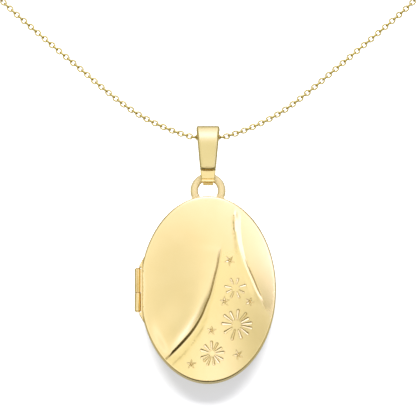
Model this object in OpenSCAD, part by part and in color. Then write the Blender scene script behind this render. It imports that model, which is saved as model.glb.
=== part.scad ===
/* [Locket body] */
// Width of the oval
body_w = 18.5; // [17:0.1:20]
// Height of the oval
body_h = 25.5; // [24:0.1:27]
// Thickness of the closed locket
body_t = 5; // [4.9:0.05:5.3]
// Sheet thickness of the pressed covers
wall = 0.35; // [0.3:0.01:0.4]
// Height of each cover's straight side wall
side_h = 1.05; // [1.03:0.01:1.15]
// Radius of the rounded edge of each cover
edge_r = 0.3; // [0.25:0.01:0.35]
// Distance from the middle to the flat that carries the hinge
flat_x = 8.86; // [8.8:0.01:8.9]
// How far the lip of the back stands into the front
lip_h = 0.5; // [0.4:0.05:0.55]

/* [Photo seats] */
// Width of the flat seat ring inside each cover
seat_w = 1.9; // [1.6:0.1:2.2]
// Width of the photo frame's face
frame_w = 1.15; // [0.9:0.05:1.4]
// Thickness of the clear window
window_t = 0.13; // [0.1:0.01:0.15]
// Thickness of the blank photo card
card_t = 0.06; // [0.05:0.01:0.08]

/* [Hinge] */
// Outer radius of the hinge barrel
barrel_r = 0.42; // [0.4:0.01:0.45]
// Length of the whole barrel
barrel_l = 5.8; // [5.6:0.1:6.4]
// Height of the seam between the two knuckles
seam_y = -0.4; // [-0.8:0.05:0.8]
// Radius of the hinge pin
pin_r = 0.18; // [0.15:0.01:0.2]
// Far end of the tapered shoulder, measured from the middle
shoulder_y = 4.6; // [4.4:0.05:4.8]

/* [Top loop and bail] */
// Radius of the loop's wire
loop_wire_r = 0.48; // [0.45:0.01:0.48]
// Radius of the loop at the middle of its wire
loop_r = 1.87; // [1.8:0.01:1.9]
// Height of the loop's centre above the middle of the locket
loop_y = 13.7; // [13.6:0.05:13.8]
// Strip thickness of the bail
bail_t = 0.34; // [0.3:0.01:0.36]
// Width of the bail at its top
bail_top_w = 3.2; // [3:0.1:3.3]
// Width of the bail at the lower end of its front leaf
bail_neck_w = 1.78; // [1.7:0.02:1.9]
// Width of the eye that shows below the front leaf
bail_eye_w = 1.5; // [1.4:0.05:1.6]

/* [Chain and clasp] */
// Width of the chain
chain_d = 0.9; // [0.8:0.05:0.9]
// Radius of the bolt ring at the middle of its tube
clasp_r = 2.35; // [2.3:0.05:2.5]
// Outer radius of the bolt ring's tube
clasp_tube_r = 0.65; // [0.62:0.01:0.68]
// Wire radius of the ring on the chain's other end
end_ring_wire_r = 0.3; // [0.25:0.01:0.35]

/* [Hidden] */

gold = [0.93, 0.78, 0.45];
dark_gold = [0.8, 0.64, 0.32];
smooth = 96;
oval_fn = 200;
dome_fn = 1440;
big = 60;
solder = 0.01;

half_w = body_w / 2;
half_h = body_h / 2;
part_z = body_t / 2;
part_gap = 0.02;
land_sink = 0.06;
top_sink = 0.015;
// The rounded edge is raised by this much, so its arc crosses the dome's arc cleanly
edge_lift = 0.005;

// Layers inside each half, measured from the parting plane
lip_t = 0.3;
lip_clear = 0.06;
seat_z = 0.58;
seat_t = 0.3;
frame_gap = 0.07;
frame_face_t = 0.22;
frame_recess = 0.12;
lip_inner = wall + lip_clear + lip_t;

// Hinge axis, just outside the flat and on the parting plane
hinge_x = -9.55;
plate_t = 0.21;
plate_h = 0.85;
barrel_gap = 0.02;
web_t = 0.22;
pin_clear = 0.02;
head_t = 0.12;
head_r = 0.3;
shoulder_x = -9.35;

// Loop and bail, seen from the side
loop_z = 1.95;
loop_foot_t = 0.4;
foot_w = 1.1;
foot_x = 1.7;
bar_y = loop_y + loop_r;
eye_r = 0.95;
// The leaves start this far inside the circles' tangents, so lines and arcs cross cleanly
leaf_sink = 0.004;
top_y = 20.65;
top_r = 1.58;
top_z = top_r + bail_t / 2;
tab_y = 14.65;
lip_bar_r = 0.2;

// Points of the right strand from the bail to its coil; the left one mirrors it
strand = [[1.55, 21.2, 1.1], [2.3, 21.26, 1.05], [4.6, 22.02, 0.85], [6.9, 23.02, 0.64],
          [9, 24.12, 0.5], [11.1, 25.47, 0.46], [13.1, 27.02, 0.46], [15, 28.57, 0.46],
          [16.95, 30.27, 0.46], [18.9, 31.92, 0.46], [20.8, 33.54, 0.46], [22.75, 35.22, 0.46],
          [24.65, 36.87, 0.46], [26.6, 38.6, 0.46], [28.2, 40.15, 0.46], [29.5, 41.9, 0.46],
          [30.25, 44, 0.46], [30.4, 46.2, 0.46], [30.4, 47.8, 0.46], [30.4, 49.4, 0.46]];
// Points of the same strand from its coil to the clasp
tail = [[22.9, 56.9, 1.36], [21, 56.9, 1.3], [19, 56.7, 1.1], [17, 56.2, 0.75],
        [15.2, 55.3, 0.5], [13.8, 54.1, 0.46], [12.7, 52.8, 0.46], [11.7, 51.7, 0.46],
        [10.7, 51.1, 0.46], [9.5, 51, 0.46]];
coil_x = 23;
coil_y = 49.5;
coil_in = 5.3;
coil_out = 7.4;
layers = 2;

// Clasp, lying flat between the coils
clasp_y = 51;
clasp_bore_r = 0.45;
bolt_r = 0.4;
gap_half = 25;
bolt_grip = 6;
bolt_hold = 60;
bore_end = 200;
trigger_at = 72;
trigger_arc = 8;
travel = 54;
clasp_eye_r = 0.6;
clasp_eye_wire_r = 0.2;
clasp_eye_z = 0.8;
jump_r = 0.85;
jump_wire_r = 0.2;
jump_z = 0.62;
jump_x = -9.5 + jump_r + jump_wire_r + solder;
clasp_eye_x = jump_x + 0.95;
clasp_x = clasp_eye_x + clasp_eye_r + clasp_eye_wire_r + clasp_r + clasp_tube_r + solder;
end_ring_r = 1.5;
end_ring_x = 9.5 - end_ring_r - end_ring_wire_r - solder;

// ---- helpers ----

// Flat oval, cut straight on the hinge side
module oval(rx, ry, flat) {
    intersection() {
        scale([1, ry / rx]) circle(r = rx, $fn = oval_fn);
        translate([-flat, -big]) square([2 * big, 2 * big]);
    }
}

// Oval ring between two insets from the body's outline
module oval_ring(outer_in, inner_in, height) {
    linear_extrude(height) difference() {
        oval(half_w - outer_in, half_h - outer_in, flat_x - outer_in);
        oval(half_w - inner_in, half_h - inner_in, flat_x - inner_in);
    }
}

// Half section of a dished cover: straight side, rounded edge, shallow dome
module cover_section(r, h, f, start_z) {
    rise = h - side_h;
    dome_r = ((r - f) ^ 2 + rise ^ 2 - f ^ 2) / (2 * (rise - f));
    touch_x = (r - f) * dome_r / (dome_r - f);
    translate([0, start_z]) square([r, side_h + edge_lift - start_z]);
    translate([r - f, side_h + edge_lift]) intersection() {
        circle(r = f, $fn = smooth);
        translate([-f, -f / 2]) square([2 * f, 2 * f]);
    }
    intersection() {
        translate([0, h - dome_r]) circle(r = dome_r, $fn = dome_fn);
        translate([0, side_h]) square([touch_x, h]);
    }
}

// Solid dished oval standing on the parting plane
module dished(inset, h, f, start_z) {
    intersection() {
        scale([1, (half_h - inset) / (half_w - inset), 1])
            rotate_extrude($fn = oval_fn)
                cover_section(half_w - inset, h, f, start_z);
        translate([-flat_x + inset, -big, -big]) cube(2 * big);
    }
}

// Pressed cover, open at the parting plane; a flat land cuts the dome's top off by sink
module cover(h, sink) {
    difference() {
        intersection() {
            dished(0, h + sink, edge_r, part_gap);
            translate([-big, -big, 0]) cube([2 * big, 2 * big, h]);
        }
        dished(wall, h + sink - wall, edge_r / 2, -1);
    }
}

// Everything outside the covers, for pieces soldered to their side
module outside(gap) {
    difference() {
        children();
        translate([0, 0, -1]) linear_extrude(big)
            oval(half_w + gap, half_h + gap, flat_x + gap);
    }
}

// Lays a shape of one half on the parting plane, up for the front and down for the back
module half(front) {
    translate([0, 0, part_z]) mirror([0, 0, front ? 0 : 1]) children();
}

// Oval with an L section that presses the window on its seat
module photo_frame(outer_in) {
    translate([0, 0, frame_recess]) oval_ring(outer_in, outer_in + frame_w, frame_face_t);
    translate([0, 0, frame_recess + frame_face_t - solder])
        oval_ring(outer_in, outer_in + frame_w / 2, seat_z - frame_recess - frame_face_t + solder);
}

// Oval plate that lies under the photo frame
module pane(outer_in, bottom, thickness) {
    inset = outer_in + frame_w / 2 + frame_gap;
    translate([0, 0, bottom]) linear_extrude(thickness)
        oval(half_w - inset, half_h - inset, flat_x - inset);
}

// Strip along the flat, with a tapered shoulder at each end
module hinge_plate() {
    strip_x = -flat_x - solder - plate_t;
    shoulder_in = barrel_l / 2 + 0.2;
    half = [[strip_x, 0], [strip_x, shoulder_in], [shoulder_x, shoulder_in],
            [shoulder_x, shoulder_in + 0.2], [-8.6, shoulder_y], [-8, shoulder_y]];
    mirrored = [for (i = [len(half) - 1:-1:1]) [half[i][0], -half[i][1]]];
    translate([0, 0, part_gap]) outside(solder)
        linear_extrude(plate_h) polygon(concat(half, mirrored));
}

// Half of the barrel with the web that ties it to its plate
module knuckle(from_y, to_y) {
    difference() {
        union() {
            translate([hinge_x, to_y, part_z]) rotate([90, 0, 0])
                cylinder(r = barrel_r, h = to_y - from_y, $fn = smooth);
            children();
        }
        translate([hinge_x, to_y + 1, part_z]) rotate([90, 0, 0])
            cylinder(r = pin_r + pin_clear, h = to_y - from_y + 2, $fn = smooth);
    }
}

module knuckle_web(from_y, to_y) {
    web_end = -flat_x - plate_t - 2 * solder;
    translate([hinge_x + pin_r, from_y, part_gap])
        cube([web_end - hinge_x - pin_r, to_y - from_y, web_t]);
}

// Side outline of the bail, moved out by a distance: eye circle, top circle and the leaves between them
module bail_outline(by) {
    eye = [bar_y, loop_z];
    top = [top_y, top_z];
    lean = atan2(top[1] - eye[1], top[0] - eye[0]);
    spread = acos((eye_r - top_r) / norm(top - eye));
    corner = [for (s = [1, -1]) [cos(lean + s * spread), sin(lean + s * spread)]];
    eye_in = eye_r + by - leaf_sink;
    top_in = top_r + by - leaf_sink;
    translate(eye) circle(r = eye_r + by, $fn = smooth);
    translate(top) circle(r = top_r + by, $fn = smooth);
    polygon([eye + eye_in * corner[0], top + top_in * corner[0],
             top + top_in * corner[1], eye + eye_in * corner[1]]);
}

function unit(v) = v / norm(v);
// Round tube along a path; up holds a direction across the path at each point
function tube_points(path, up, r, sides) = [for (i = [0:len(path) - 1])
    let (t = unit(path[min(i + 1, len(path) - 1)] - path[max(i - 1, 0)]),
         e = unit(cross(t, up[i])), f = cross(e, t))
    for (k = [0:sides - 1]) path[i] + r * (cos(360 * (k + 0.5) / sides) * e
                                           + sin(360 * (k + 0.5) / sides) * f)];
function tube_faces(rings, sides) = concat(
    [[for (k = [0:sides - 1]) k]],
    [for (i = [0:rings - 2]) for (k = [0:sides - 1]) let (j = (k + 1) % sides)
        each [[i * sides + k, (i + 1) * sides + k, (i + 1) * sides + j],
              [i * sides + k, (i + 1) * sides + j, i * sides + j]]],
    [[for (k = [sides - 1:-1:0]) (rings - 1) * sides + k]]);
module tube(path, up, r, sides) {
    polyhedron(points = tube_points(path, up, r, sides), faces = tube_faces(len(path), sides));
}
// Run of chain that ends where it meets its coil
module chain_run(route, side) {
    path = [for (p = route) [side * p[0], p[1], p[2]]];
    color(dark_gold) difference() {
        tube(path, [for (p = path) [0, 0, 1]], chain_d / 2, 8);
        translate([side * coil_x, coil_y, -1])
            cylinder(r = coil_out + chain_d / 2 + solder, h = 4, $fn = smooth);
    }
}
module chain_coil(side) {
    color(dark_gold) translate([side * coil_x, coil_y, 0]) rotate_extrude($fn = smooth)
        translate([coil_in - chain_d / 2, 0])
            square([coil_out - coil_in + chain_d, layers * chain_d]);
}

// Curved rod along the clasp's ring
module clasp_arc(from_deg, to_deg, r) {
    rotate_extrude(angle = to_deg - from_deg, start = from_deg, $fn = smooth)
        translate([clasp_r, 0]) circle(r = r, $fn = smooth);
}
module ring(r, wire_r) {
    rotate_extrude($fn = smooth) translate([r, 0]) circle(r = wire_r, $fn = 48);
}
module at_clasp() {
    translate([clasp_x, clasp_y, clasp_tube_r]) children();
}

// ---- pieces ----

module front_cover() {
    color(gold) half(true) cover(part_z, top_sink);
}

module back_cover() {
    color(gold) half(false) cover(part_z, land_sink);
}

module front_rim_band() {
    color(gold) half(true) translate([0, 0, seat_z])
        oval_ring(wall + solder, wall + seat_w, seat_t);
}

// The band runs down to its seat and its lip stands past the parting plane
module back_rim_band() {
    color(gold) half(false) {
        translate([0, 0, -lip_h])
            oval_ring(wall + lip_clear, lip_inner, lip_h + seat_z + seat_t);
        translate([0, 0, 0.1])
            oval_ring(wall + solder, wall + lip_clear + solder, seat_z + seat_t - 0.1);
        translate([0, 0, seat_z]) oval_ring(lip_inner - solder, wall + seat_w, seat_t);
    }
}

module front_photo_frame() {
    color(gold) half(true) photo_frame(lip_inner + frame_gap);
}

module back_photo_frame() {
    color(gold) half(false) photo_frame(lip_inner + frame_gap);
}

module front_window() {
    color([0.85, 0.92, 0.95, 0.4]) half(true)
        pane(lip_inner + frame_gap, frame_recess + frame_face_t + solder, window_t);
}

module back_window() {
    color([0.85, 0.92, 0.95, 0.4]) half(false)
        pane(lip_inner + frame_gap, frame_recess + frame_face_t + solder, window_t);
}

module front_photo_card() {
    color([0.96, 0.95, 0.92]) half(true)
        pane(lip_inner + frame_gap, seat_z - card_t - solder / 2, card_t);
}

module back_photo_card() {
    color([0.96, 0.95, 0.92]) half(false)
        pane(lip_inner + frame_gap, seat_z - card_t - solder / 2, card_t);
}

module front_hinge_plate() {
    color(dark_gold) half(true) hinge_plate();
}

module back_hinge_plate() {
    color(dark_gold) half(false) hinge_plate();
}

module front_hinge_knuckle() {
    from_y = seam_y + barrel_gap;
    to_y = barrel_l / 2;
    color(gold) knuckle(from_y, to_y) half(true) knuckle_web(from_y, to_y);
}

module back_hinge_knuckle() {
    from_y = -barrel_l / 2;
    to_y = seam_y - barrel_gap;
    color(gold) knuckle(from_y, to_y) half(false) knuckle_web(from_y, to_y);
}

module hinge_pin() {
    color(gold) translate([hinge_x, barrel_l / 2 + barrel_gap + head_t, part_z]) rotate([90, 0, 0]) {
        cylinder(r = pin_r, h = barrel_l + 2 * (barrel_gap + head_t), $fn = smooth);
        cylinder(r = head_r, h = head_t, $fn = smooth);
        translate([0, 0, barrel_l + 2 * barrel_gap + head_t])
            cylinder(r = head_r, h = head_t, $fn = smooth);
    }
}

module top_loop() {
    color(gold) outside(loop_foot_t + solder)
        translate([0, loop_y, loop_z]) rotate_extrude(angle = 260, start = -40, $fn = smooth)
            translate([loop_r, 0]) circle(r = loop_wire_r, $fn = smooth);
}

// Two curved pads between the rim and the ends of the loop
module loop_feet() {
    color(gold) intersection() {
        outside(solder) translate([0, 0, loop_z - loop_wire_r - solder])
            linear_extrude(2 * (loop_wire_r + solder))
                oval(half_w + loop_foot_t, half_h + loop_foot_t, flat_x);
        for (s = [-1, 1])
            translate([s * foot_x - foot_w / 2, 12, 0]) cube([foot_w, 2, 4]);
    }
}

// Folded strip: round eye on the loop, two straight leaves, round top, rolled end of the front leaf
module bail() {
    color(gold) intersection() {
        rotate([90, 0, 90]) {
            linear_extrude(4, center = true) difference() {
                bail_outline(bail_t / 2);
                bail_outline(-bail_t / 2);
            }
            translate([tab_y + 0.22, loop_z + eye_r + 0.02, 0])
                cylinder(r = lip_bar_r, h = 4, center = true, $fn = smooth);
        }
        linear_extrude(6) polygon([
            [-bail_eye_w / 2, bar_y - 2], [bail_eye_w / 2, bar_y - 2],
            [bail_eye_w / 2, tab_y], [bail_neck_w / 2, tab_y],
            [bail_top_w / 2, top_y + 2], [-bail_top_w / 2, top_y + 2],
            [-bail_neck_w / 2, tab_y], [-bail_eye_w / 2, tab_y]]);
    }
}

module chain_in_bail() {
    start = strand[0];
    path = [[-start[0] + 0.05, start[1], start[2]], [start[0] - 0.05, start[1], start[2]]];
    color(dark_gold) tube(path, [[0, 0, 1], [0, 0, 1]], chain_d / 2, 8);
}

module chain_left() {
    chain_run(strand, -1);
}

module chain_right() {
    chain_run(strand, 1);
}

module chain_coil_left() {
    chain_coil(-1);
}

module chain_coil_right() {
    chain_coil(1);
}

module chain_left_end() {
    chain_run(tail, -1);
}

module chain_right_end() {
    chain_run(tail, 1);
}

// Bolt ring: a tube with a gap, bored for the bolt and slotted for the trigger
module clasp_ring() {
    slot_h = 0.4;
    color(dark_gold) at_clasp() difference() {
        clasp_arc(gap_half, 360 - gap_half, clasp_tube_r);
        clasp_arc(gap_half - 1, bore_end, clasp_bore_r);
        clasp_arc(360 - gap_half - bolt_grip - 2, 360 - gap_half + 1, clasp_bore_r);
        rotate_extrude(angle = travel + trigger_arc + 4, start = trigger_at - trigger_arc / 2 - 2,
                       $fn = smooth)
            translate([clasp_r + 0.2, -slot_h / 2]) square([1, slot_h]);
    }
}

module clasp_bolt() {
    color(gold) at_clasp() clasp_arc(-gap_half - bolt_grip, gap_half + bolt_hold, bolt_r);
}

module clasp_trigger() {
    stem_h = 0.3;
    stem_out = clasp_r + clasp_tube_r + 0.15;
    color(gold) at_clasp() {
        rotate_extrude(angle = trigger_arc, start = trigger_at - trigger_arc / 2, $fn = smooth)
            translate([clasp_r + bolt_r + solder, -stem_h / 2])
                square([stem_out - clasp_r - bolt_r - solder + 0.1, stem_h]);
        rotate([0, 0, trigger_at]) translate([stem_out, 0, 0]) rotate([0, 90, 0])
            cylinder(r = 0.38, h = 0.4, $fn = smooth);
    }
}

// Fine return spring, wound inside the bore between the bolt and the bore's end
module clasp_spring() {
    turns = 12;
    steps = 10;
    coil_r = 0.34;
    wire_r = 0.06;
    from_deg = gap_half + bolt_hold + 2;
    to_deg = bore_end - 3;
    count = turns * steps;
    function at(i) = from_deg + (to_deg - from_deg) * i / count;
    path = [for (i = [0:count]) let (a = at(i), w = 360 * i / steps, r = clasp_r + coil_r * cos(w))
        [r * cos(a), r * sin(a), coil_r * sin(w)]];
    along = [for (i = [0:count]) [-sin(at(i)), cos(at(i)), 0]];
    color("silver") at_clasp() tube(path, along, wire_r, 6);
}

module clasp_eye() {
    color(dark_gold) translate([clasp_eye_x, clasp_y, clasp_eye_z]) rotate([90, 0, 0])
        ring(clasp_eye_r, clasp_eye_wire_r);
}

module clasp_jump_ring() {
    color(dark_gold) translate([jump_x, clasp_y, jump_z]) ring(jump_r, jump_wire_r);
}

module end_ring() {
    color(dark_gold) translate([end_ring_x, clasp_y, end_ring_wire_r])
        ring(end_ring_r, end_ring_wire_r);
}

front_cover();
back_cover();
front_rim_band();
back_rim_band();
front_photo_frame();
back_photo_frame();
front_window();
back_window();
front_photo_card();
back_photo_card();
front_hinge_plate();
back_hinge_plate();
front_hinge_knuckle();
back_hinge_knuckle();
hinge_pin();
top_loop();
loop_feet();
bail();
chain_in_bail();
chain_left();
chain_right();
chain_coil_left();
chain_coil_right();
chain_left_end();
chain_right_end();
clasp_ring();
clasp_bolt();
clasp_trigger();
clasp_spring();
clasp_eye();
clasp_jump_ring();
end_ring();
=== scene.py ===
"""Looks of an oval gold locket on a fine chain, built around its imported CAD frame."""
import math

import bmesh
import bpy
import numpy as np
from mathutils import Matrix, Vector, geometry


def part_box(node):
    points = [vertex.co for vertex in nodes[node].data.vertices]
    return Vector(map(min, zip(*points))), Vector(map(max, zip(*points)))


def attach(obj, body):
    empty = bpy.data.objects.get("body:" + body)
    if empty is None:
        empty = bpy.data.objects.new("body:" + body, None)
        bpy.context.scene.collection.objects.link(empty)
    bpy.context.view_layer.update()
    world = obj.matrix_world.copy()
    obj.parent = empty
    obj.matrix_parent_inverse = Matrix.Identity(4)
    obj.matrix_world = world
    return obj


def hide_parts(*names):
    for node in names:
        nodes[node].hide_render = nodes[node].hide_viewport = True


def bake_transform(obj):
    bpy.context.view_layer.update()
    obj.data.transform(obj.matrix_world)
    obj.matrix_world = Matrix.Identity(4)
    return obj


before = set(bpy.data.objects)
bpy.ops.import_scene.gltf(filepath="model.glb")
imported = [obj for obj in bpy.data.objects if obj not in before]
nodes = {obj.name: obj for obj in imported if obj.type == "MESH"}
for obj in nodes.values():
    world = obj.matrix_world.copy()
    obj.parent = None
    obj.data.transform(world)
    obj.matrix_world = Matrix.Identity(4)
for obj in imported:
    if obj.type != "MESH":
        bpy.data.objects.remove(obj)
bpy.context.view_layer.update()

MM = 0.001
UP = np.array([0.0, 0.0, 1.0])


def node_box(name):
    """Lowest and highest corner of a CAD node, in millimetres."""
    low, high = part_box(name)
    return np.array(low) / MM, np.array(high) / MM


# ---------------- camera
VIEW_MID = (0.0, 11.26)       # what the picture's middle looks at, mm
VIEW_SPAN = 56.65             # width of the view at the locket, mm
CAMERA_FAR = 1400.0           # mm
CAMERA_LEAN = 7.5             # degrees towards -Y
VIEW_Z = 2.5                  # height of the plane that the span is measured at, mm
SENSOR = 36.0                 # the camera's sensor width, mm


def make_camera():
    lean = math.radians(CAMERA_LEAN)
    target = Vector((VIEW_MID[0], VIEW_MID[1], VIEW_Z)) * MM
    direction = Vector((0.0, -math.sin(lean), math.cos(lean)))
    data = bpy.data.cameras.new("camera")
    data.sensor_width = SENSOR
    data.lens = SENSOR * CAMERA_FAR / VIEW_SPAN
    data.clip_start = 0.01
    data.clip_end = 20.0
    camera = bpy.data.objects.new("camera", data)
    camera.location = target + direction * CAMERA_FAR * MM
    camera.rotation_euler = (lean, 0.0, 0.0)
    bpy.context.scene.collection.objects.link(camera)
    bpy.context.scene.camera = camera


make_camera()


# ---------------- mesh helpers
def new_piece(name, points, faces, body, smooth=True, sharp_deg=None):
    """A mesh piece from points in millimetres, riding on a CAD body."""
    mesh = bpy.data.meshes.new(name)
    mesh.from_pydata([tuple(p) for p in np.asarray(points) * MM], [], faces)
    mesh.validate()
    shell = bmesh.new()
    shell.from_mesh(mesh)
    bmesh.ops.recalc_face_normals(shell, faces=shell.faces)
    shell.to_mesh(mesh)
    shell.free()
    mesh.update()
    if smooth:
        mesh.polygons.foreach_set("use_smooth", [True] * len(mesh.polygons))
    if sharp_deg is not None:
        mesh.set_sharp_from_angle(angle=math.radians(sharp_deg))
    piece = bpy.data.objects.new(name, mesh)
    bpy.context.scene.collection.objects.link(piece)
    if body is not None:
        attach(piece, body)
    return piece


def grid_faces(rows, columns, first=0, wrap_rows=False, wrap_columns=True):
    """Quads of a grid of points stored row by row."""
    faces = []
    for i in range(rows if wrap_rows else rows - 1):
        for j in range(columns if wrap_columns else columns - 1):
            a = first + i * columns + j
            b = first + i * columns + (j + 1) % columns
            c = first + (i + 1) % rows * columns + (j + 1) % columns
            d = first + (i + 1) % rows * columns + j
            faces.append((a, b, c, d))
    return faces


def tube_faces(rows, columns, first=0):
    """Quads of a tube stored row by row, and a flat cap at each end."""
    last = first + (rows - 1) * columns
    caps = [tuple(range(first, first + columns))[::-1], tuple(range(last, last + columns))]
    return grid_faces(rows, columns, first) + caps


def write_mask(piece, name, values, rest=0.0):
    """Stores one value per point for a material to read; points past the list get rest."""
    padded = np.full(len(piece.data.vertices), rest, np.float32)
    padded[:len(values)] = values
    piece.data.attributes.new(name, "FLOAT", "POINT").data.foreach_set("value", padded)


def smooth_line(points, step):
    """Catmull-Rom curve through points, resampled at an even step."""
    p = np.asarray(points, float)
    p = np.vstack([2 * p[0] - p[1], p, 2 * p[-1] - p[-2]])
    t = np.linspace(0, 1, 24, endpoint=False)[:, None]
    parts = []
    for a, b, c, d in zip(p, p[1:], p[2:], p[3:]):
        parts.append(0.5 * (2 * b + (c - a) * t + (2 * a - 5 * b + 4 * c - d) * t ** 2
                            + (3 * b - a - 3 * c + d) * t ** 3))
    return resampled(np.vstack(parts + [p[-2:-1]]), step)


def resampled(line, step):
    """The same line with points an even step apart."""
    run = np.concatenate([[0], np.cumsum(np.linalg.norm(np.diff(line, axis=0), axis=1))])
    at = np.arange(0, run[-1] + step * 0.5, step)
    return np.column_stack([np.interp(at, run, line[:, k]) for k in range(line.shape[1])])


def smoothstep(low, high, x):
    t = np.clip((x - low) / (high - low), 0, 1)
    return t * t * (3 - 2 * t)


def bell(x, middle, width):
    return np.exp(-((x - middle) / width) ** 2)


def distances(points, middles):
    """Distance from every point to every middle."""
    return np.linalg.norm(points[:, None] - middles[None], axis=2)


def full_turn(count):
    """Even angles round a circle."""
    return 2 * np.pi * np.arange(count) / count


def squared(c, s, power):
    """Takes the circle's points (c, s) out to a rounded square, squarer with a higher power."""
    return (np.abs(c) ** power + np.abs(s) ** power) ** (-1 / power)


def unit(v):
    return v / np.linalg.norm(v, axis=-1, keepdims=True)


# ---------------- the chain
CHAIN_D = 0.9
LINK_PITCH = 0.636
LINK_WIRE = 0.11              # radius of the wire
LINK_WIDE = 0.88
LINK_OVAL = 0.9               # under 1 squares the link's ends slightly
FLOOR_RUN = 0.46              # height of the chain's middle where it lies on the table
# The strand from the bail to its coil, and from the coil to the clasp, as in the CAD
STRAND = [(1.55, 21.2, 1.1), (2.3, 21.26, 1.05), (4.6, 22.02, 0.85), (6.9, 23.02, 0.64),
          (9, 24.12, 0.5), (11.1, 25.47, 0.46), (13.1, 27.02, 0.46), (15, 28.57, 0.46),
          (16.95, 30.27, 0.46), (18.9, 31.92, 0.46), (20.8, 33.54, 0.46), (22.75, 35.22, 0.46),
          (24.65, 36.87, 0.46), (26.6, 38.6, 0.46), (28.2, 40.15, 0.46), (29.5, 41.9, 0.46),
          (30.25, 44, 0.46), (30.4, 46.2, 0.46), (30.4, 47.8, 0.46), (30.4, 49.4, 0.46)]
TAIL = [(22.9, 56.9, 1.36), (21, 56.9, 1.3), (19, 56.7, 1.1), (17, 56.2, 0.75),
        (15.2, 55.3, 0.5), (13.8, 54.1, 0.46), (12.7, 52.8, 0.46), (11.7, 51.7, 0.46),
        (10.7, 51.1, 0.46), (9.5, 51, 0.46)]
COIL_MID = (23.0, 49.5)
COIL_OUT = 7.4
COIL_IN = 5.3
COIL_TURNS = 4.25


def coil_line():
    """Right-hand coil: in along the floor, then out again on top of the first layer."""
    turn = np.linspace(0, 1, 360)
    half = np.abs(2 * turn - 1)
    radius = COIL_IN + (COIL_OUT - COIL_IN) * half
    angle = 2 * math.pi * COIL_TURNS * turn
    z = FLOOR_RUN + CHAIN_D * smoothstep(0.46, 0.54, turn)
    return np.column_stack([COIL_MID[0] + radius * np.cos(angle),
                            COIL_MID[1] + radius * np.sin(angle), z])


def chain_line(side):
    """Centre line of half the chain, from the middle of the bail to its last link."""
    start = [(0.0, STRAND[0][1] - 0.02, STRAND[0][2])]
    raw = np.vstack([np.array(start + STRAND), coil_line()[4:-4], np.array(TAIL)])
    line = smooth_line(raw, 0.05)
    line[:, 0] *= side
    return line


def link_points(around=16, section=6):
    """One oval link of round wire in the XY plane, long along X."""
    half_long = LINK_PITCH / 2 + LINK_WIRE
    half_wide = LINK_WIDE / 2 - LINK_WIRE
    a = full_turn(around)
    mid = np.column_stack([half_long * np.sign(np.cos(a)) * np.abs(np.cos(a)) ** LINK_OVAL,
                           half_wide * np.sin(a), 0 * a])
    tangent = unit(np.roll(mid, -1, 0) - np.roll(mid, 1, 0))
    out = np.cross(tangent, UP)
    b = 2 * np.pi * (np.arange(section) + 0.5) / section
    rings = (mid[:, None] + LINK_WIRE * (np.cos(b)[None, :, None] * out[:, None]
                                         + np.sin(b)[None, :, None] * UP))
    return rings.reshape(-1, 3), grid_faces(around, section, wrap_rows=True)


def make_chain(side, name, body_nodes):
    line = chain_line(side)
    centres = resampled(line, LINK_PITCH)
    tangent = unit(np.gradient(centres, axis=0))
    across = unit(np.cross(UP, tangent))
    above = np.cross(tangent, across)
    shape, shape_faces = link_points()
    points = []
    faces = []
    for i, (c, t, n, b) in enumerate(zip(centres, tangent, across, above)):
        flat, stand = (n, b) if i % 2 == 0 else (b, -n)
        points.append(c + shape @ np.array([t, flat, stand]))
        faces += [tuple(v + i * len(shape) for v in f) for f in shape_faces]
    piece = new_piece(name, np.vstack(points), faces, None)
    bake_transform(piece)
    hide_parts(*body_nodes)
    return piece


chain_left = make_chain(
    -1, "chain_left_links", ["chain_in_bail", "chain_left", "chain_coil_left", "chain_left_end"])
chain_right = make_chain(
    1, "chain_right_links", ["chain_right", "chain_coil_right", "chain_right_end"])


# ---------------- materials
def node_material(name):
    material = bpy.data.materials.new(name)
    material.use_nodes = True
    tree = material.node_tree
    return material, tree, tree.nodes["Principled BSDF"]


def noise(tree, scale, detail=3.0, stretch=(1, 1, 1), rough=0.5):
    """Noise over the piece's own coordinates; scale is in cells per millimetre."""
    coords = tree.nodes.new("ShaderNodeTexCoord")
    mapping = tree.nodes.new("ShaderNodeMapping")
    mapping.inputs["Scale"].default_value = [s / MM for s in stretch]
    texture = tree.nodes.new("ShaderNodeTexNoise")
    texture.inputs["Scale"].default_value = scale
    texture.inputs["Detail"].default_value = detail
    texture.inputs["Roughness"].default_value = rough
    tree.links.new(coords.outputs["Object"], mapping.inputs["Vector"])
    tree.links.new(mapping.outputs["Vector"], texture.inputs["Vector"])
    return texture.outputs["Fac"]


def remap(tree, value, low, high, to_low, to_high, way="LINEAR"):
    node = tree.nodes.new("ShaderNodeMapRange")
    node.interpolation_type = way
    node.inputs["From Min"].default_value = low
    node.inputs["From Max"].default_value = high
    node.inputs["To Min"].default_value = to_low
    node.inputs["To Max"].default_value = to_high
    tree.links.new(value, node.inputs["Value"])
    return node.outputs["Result"]


def math_node(tree, operation, a, b):
    node = tree.nodes.new("ShaderNodeMath")
    node.operation = operation
    for socket, value in zip(node.inputs, (a, b)):
        if isinstance(value, (int, float)):
            socket.default_value = value
        else:
            tree.links.new(value, socket)
    return node.outputs[0]


def mix_colour(tree, factor, a, b):
    node = tree.nodes.new("ShaderNodeMix")
    node.data_type = "RGBA"
    tree.links.new(factor, node.inputs["Factor"])
    for socket, colour in ((node.inputs["A"], a), (node.inputs["B"], b)):
        if isinstance(colour, tuple):
            socket.default_value = (*colour, 1)
        else:
            tree.links.new(colour, socket)
    return node.outputs["Result"]


def bump(tree, height, strength, distance_mm, under=None):
    node = tree.nodes.new("ShaderNodeBump")
    node.inputs["Strength"].default_value = strength
    node.inputs["Distance"].default_value = distance_mm * MM
    tree.links.new(height, node.inputs["Height"])
    if under is not None:
        tree.links.new(under, node.inputs["Normal"])
    return node.outputs["Normal"]


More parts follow.
